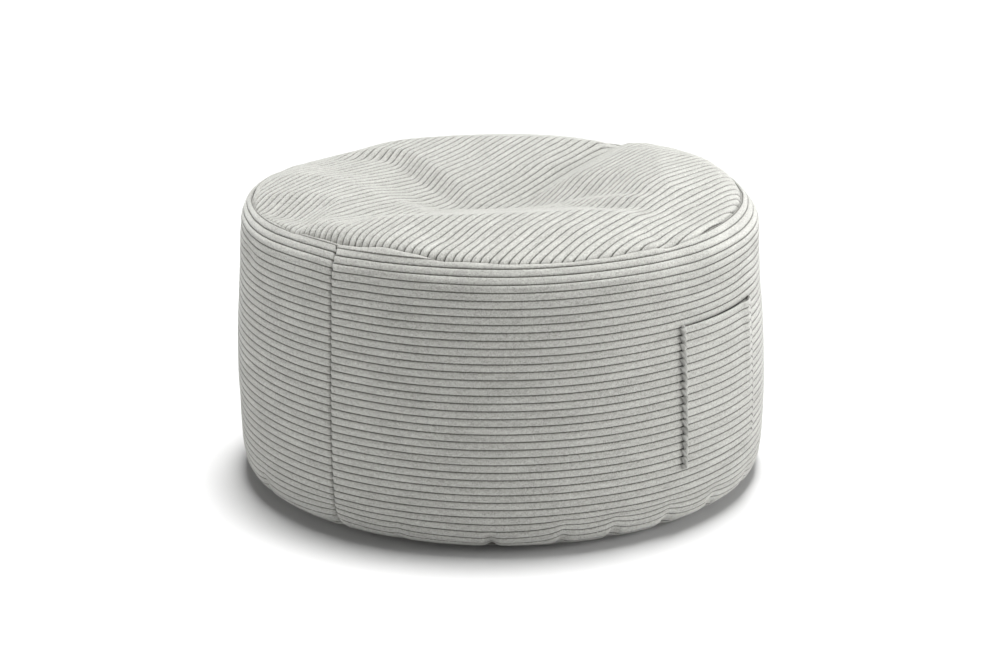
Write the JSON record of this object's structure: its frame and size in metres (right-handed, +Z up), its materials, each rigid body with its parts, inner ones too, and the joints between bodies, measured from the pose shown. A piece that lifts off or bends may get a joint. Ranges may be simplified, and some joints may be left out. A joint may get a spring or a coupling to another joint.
{
  "type": "bean bag footstool",
  "caption": "Round filled footstool in wide-wale corduroy, with a puffed top, a side band closed by one upright seam, and a patch pocket on the side.",
  "frame": {"origin": "on the floor, in the middle of the base panel", "axes": "+Z up along the stool's axis; -Y towards the front, with the upright seam to the left of it and the pocket to the right; +X to the right seen from the front"},
  "size_m": [0.6008, 0.5997, 0.3411],
  "materials": {
    "corduroy": "soft cut pile in wide wales, light warm grey",
    "base_corduroy": "the same corduroy, lying flat on the floor"
  },
  "bodies": {
    "root": {"side_band": "corduroy", "top_panel": "corduroy", "side_pocket": "corduroy", "base_panel": "base_corduroy"}
  },
  "joints": []
}
